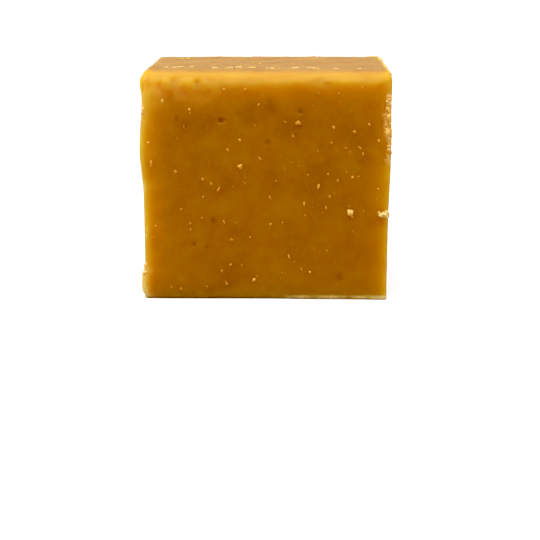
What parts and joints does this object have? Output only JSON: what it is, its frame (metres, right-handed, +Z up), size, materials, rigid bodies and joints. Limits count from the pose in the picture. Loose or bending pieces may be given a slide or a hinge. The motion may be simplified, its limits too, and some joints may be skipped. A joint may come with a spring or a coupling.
{
  "type": "fudge cube",
  "caption": "Hand-cut cube of caramel fudge with a soft rippled top, rounded shoulders, plain cut sides and a flat base.",
  "frame": {"origin": "middle of the base, on the surface the cube rests on", "axes": "+Z up, +X to the right across the front, front face towards -Y"},
  "size_m": [0.03, 0.025, 0.0275],
  "materials": {
    "caramel_fudge": "satin fudge, slightly translucent, with pale sugar grains and crumbs"
  },
  "bodies": {
    "root": {"fudge_cube": "caramel_fudge"}
  },
  "joints": []
}
